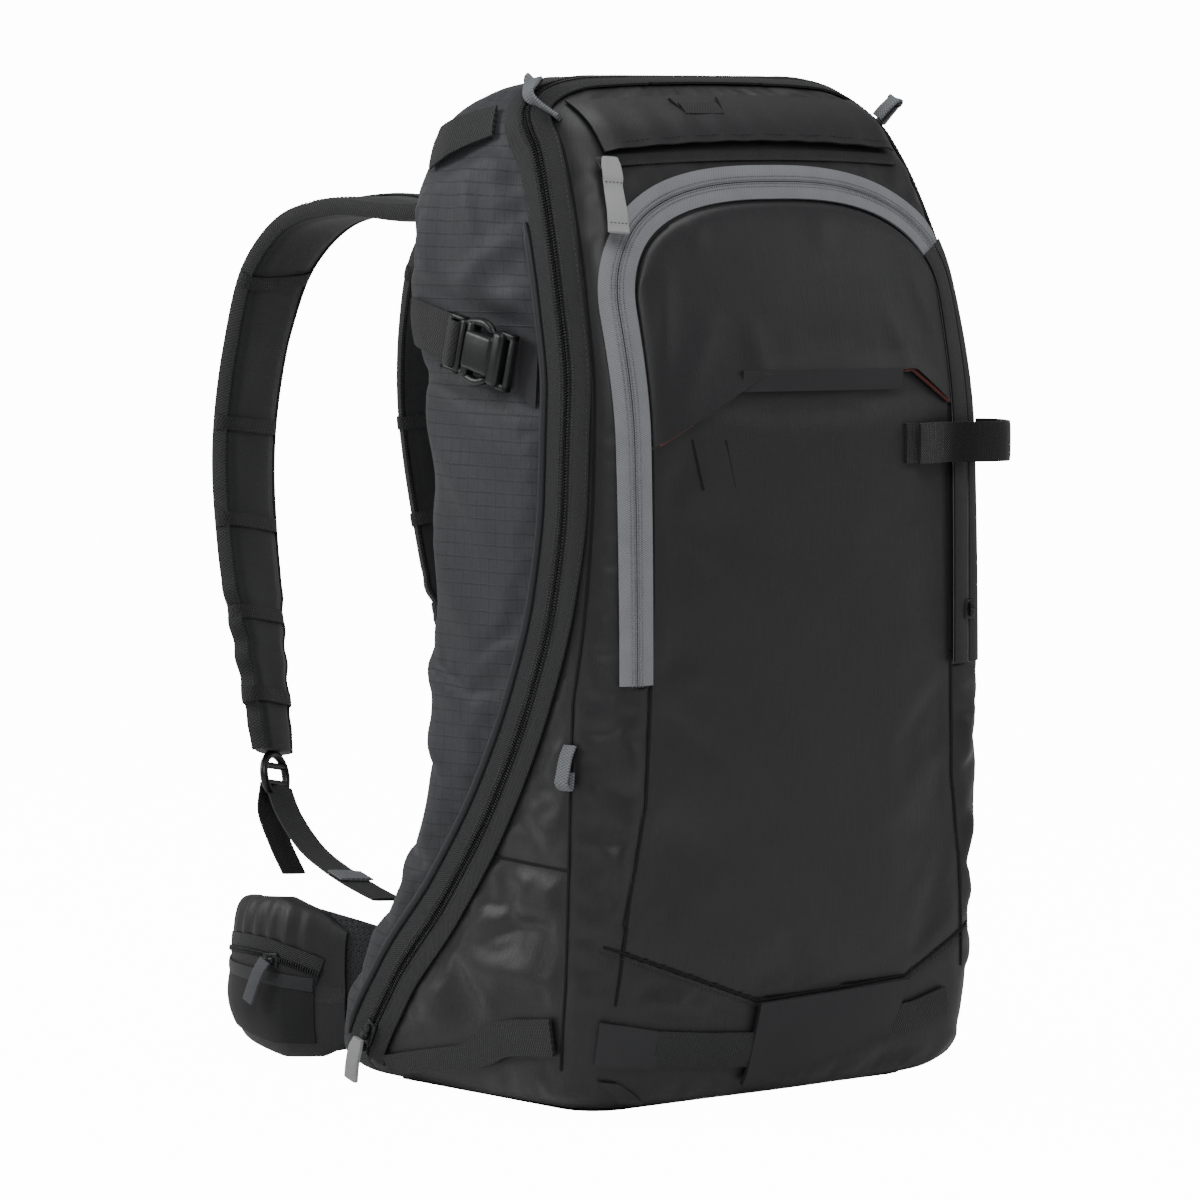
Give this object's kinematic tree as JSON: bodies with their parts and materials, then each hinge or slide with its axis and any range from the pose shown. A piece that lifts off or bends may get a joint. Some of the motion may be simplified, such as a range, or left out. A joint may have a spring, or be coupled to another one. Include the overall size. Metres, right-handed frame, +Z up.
{
  "type": "avalanche airbag backpack",
  "caption": "Zip-around backpack with a front tool pocket, side buckles, padded shoulder straps, hip wings and an airbag unit inside.",
  "frame": {"origin": "middle of the base panel's underside, where the standing bag rests", "axes": "+Z up, front of the bag faces -Y, the wearer's side is +Y, the wearer's right is +X"},
  "size_m": [0.3108, 0.4409, 0.5542],
  "materials": {
    "black_nylon": "tight plain weave nylon, slight sheen",
    "grey_ripstop": "slate ripstop nylon, matt",
    "base_fabric": "coated heavy nylon",
    "black_zip": "woven zip tape with coil",
    "grey_zip": "woven zip tape with coil",
    "black_webbing": "woven nylon webbing",
    "grey_webbing": "woven nylon webbing",
    "pull_fabric": "coated fabric tab",
    "black_plastic": "moulded acetal",
    "black_foam": "mesh over moulded foam",
    "frame_plastic": "sheet polyethylene",
    "aluminium": "drawn",
    "cylinder_metal": "satin",
    "airbag_nylon": "coated nylon",
    "trigger_plastic": "moulded",
    "hook_tape": "hook and loop tape",
    "strap_fabric": "nylon over foam"
  },
  "bodies": {
    "root": {"base_panel": "base_fabric", "corner_loop_left": "grey_webbing", "corner_loop_right": "grey_webbing", "front_shell": "black_nylon", "main_zip_tape_front": "black_zip", "pocket_divider": "black_nylon", "pocket_zip_tape_outer": "grey_zip", "side_webbing_left": "black_webbing", "side_webbing_right": "black_webbing", "ski_loop_webbing": "black_webbing", "top_flap": "black_nylon"},
    "pocket_door": {"axe_keeper_base": "hook_tape", "pocket_door_panel": "black_nylon", "pocket_zip_tape_inner": "grey_zip", "upper_pocket_panel": "black_nylon"},
    "axe_keeper": {"axe_keeper_strap": "hook_tape"},
    "back_section": {"back_foam": "black_foam", "back_shell": "grey_ripstop", "buckle_socket_left": "black_plastic", "buckle_socket_right": "black_plastic", "buckle_tab_left": "black_nylon", "buckle_tab_right": "black_nylon", "compression_webbing_left": "black_webbing", "compression_webbing_right": "black_webbing", "corner_webbing_left": "black_webbing", "corner_webbing_right": "black_webbing", "folded_airbag": "airbag_nylon", "frame_sheet": "frame_plastic", "gas_cylinder": "cylinder_metal", "lumbar_pad": "black_foam", "main_zip_tape_back": "black_zip", "release_valve": "aluminium", "trigger_cable_inner": "black_plastic", "wire_stay": "aluminium", "zip_piping_left": "black_nylon", "zip_piping_right": "black_nylon"},
    "buckle_left": {"buckle_plug_left": "black_plastic"},
    "buckle_right": {"buckle_plug_right": "black_plastic"},
    "goggle_pull": {"goggle_zip_pull": "pull_fabric"},
    "goggle_slider": {"goggle_zip_slider": "black_plastic"},
    "haul_loop": {"haul_loop_webbing": "black_webbing"},
    "hip_wing_left": {"hip_wing_left": "strap_fabric", "waist_buckle_socket": "black_plastic", "waist_webbing_left": "black_webbing"},
    "hip_wing_right": {"hip_wing_right": "strap_fabric", "waist_buckle_plug": "black_plastic", "waist_webbing_right": "black_webbing"},
    "hip_zip_left": {"hip_zip_slider_left": "black_plastic"},
    "hip_zip_right": {"hip_zip_slider_right": "black_plastic"},
    "strap_left": {"ladder_lock_left": "black_plastic", "shoulder_strap_left": "strap_fabric", "strap_webbing_left": "black_webbing"},
    "strap_right": {"ladder_lock_right": "black_plastic", "shoulder_strap_right": "strap_fabric", "strap_webbing_right": "black_webbing", "trigger_cable_strap": "black_plastic"},
    "main_pull": {"main_zip_pull": "pull_fabric"},
    "main_slider": {"main_zip_slider": "black_plastic"},
    "pocket_slider": {"pocket_zip_slider": "black_plastic"},
    "trigger_handle": {"trigger_handle": "trigger_plastic"}
  },
  "joints": [
    {"name": "main_compartment", "type": "hinge", "parent": "root", "child": "back_section", "pos_m": [0, 0.07986, 0.002], "axis": [-1, 0, 0], "range_deg": [0, 100]},
    {"name": "front_pocket", "type": "hinge", "parent": "root", "child": "pocket_door", "pos_m": [0, -0.135, 0.232], "axis": [1, 0, 0], "range_deg": [0, 85]},
    {"name": "axe_keeper", "type": "hinge", "parent": "pocket_door", "child": "axe_keeper", "pos_m": [0.14126, -0.10925, 0.355], "axis": [0, 0, 1], "range_deg": [0, 100]},
    {"name": "goggle_zip", "type": "hinge", "parent": "root", "child": "goggle_slider", "pos_m": [0, 0.53295, 0.506], "axis": [0, 0, 1], "range_deg": [0, 15]},
    {"name": "goggle_pull_flip", "type": "hinge", "parent": "goggle_slider", "child": "goggle_pull", "pos_m": [-0.10866, -0.09043, 0.51115], "axis": [-1, 0, 0], "range_deg": [0, 120]},
    {"name": "main_zip", "type": "slide", "parent": "root", "child": "main_slider", "axis": [-0.0689, -0.5957, 0.8002], "range_m": [0, 0.04]},
    {"name": "main_pull_flip", "type": "hinge", "parent": "main_slider", "child": "main_pull", "pos_m": [-0.15316, 0.07153, 0.02621], "axis": [0, 1, 0], "range_deg": [0, 120]},
    {"name": "pocket_zip", "type": "slide", "parent": "pocket_door", "child": "pocket_slider", "axis": [0, 0.0098, 1], "range_m": [0, 0.06]},
    {"name": "buckle_left", "type": "slide", "parent": "back_section", "child": "buckle_left", "axis": [0.0218, 0.9782, 0.2066], "range_m": [0, 0.024]},
    {"name": "shoulder_strap_left", "type": "hinge", "parent": "back_section", "child": "strap_left", "pos_m": [-0.079, 0.0735, 0.484], "axis": [0.0927, -0.0528, 0.9943], "range_deg": [0, 40]},
    {"name": "hip_wing_left", "type": "hinge", "parent": "back_section", "child": "hip_wing_left", "pos_m": [-0.1215, 0.1205, 0.05], "axis": [0, 0, 1], "range_deg": [0, 60]},
    {"name": "hip_zip_left", "type": "slide", "parent": "hip_wing_left", "child": "hip_zip_left", "axis": [-0.0548, 0.9985, 0], "range_m": [0, 0.022]},
    {"name": "buckle_right", "type": "slide", "parent": "back_section", "child": "buckle_right", "axis": [-0.0218, 0.9782, 0.2066], "range_m": [0, 0.024]},
    {"name": "shoulder_strap_right", "type": "hinge", "parent": "back_section", "child": "strap_right", "pos_m": [0.079, 0.0735, 0.484], "axis": [0.0927, 0.0528, -0.9943], "range_deg": [0, 40]},
    {"name": "hip_wing_right", "type": "hinge", "parent": "back_section", "child": "hip_wing_right", "pos_m": [0.1215, 0.1205, 0.05], "axis": [0, 0, -1], "range_deg": [0, 60]},
    {"name": "hip_zip_right", "type": "slide", "parent": "hip_wing_right", "child": "hip_zip_right", "axis": [0.0548, 0.9985, 0], "range_m": [0, 0.022]},
    {"name": "haul_loop", "type": "hinge", "parent": "back_section", "child": "haul_loop", "pos_m": [0, 0.07461, 0.49384], "axis": [-1, 0, 0], "range_deg": [-15, 50]},
    {"name": "trigger_pull", "type": "slide", "parent": "strap_right", "child": "trigger_handle", "axis": [0.0675, -0.1702, -0.9831], "range_m": [0, 0.03]}
  ]
}
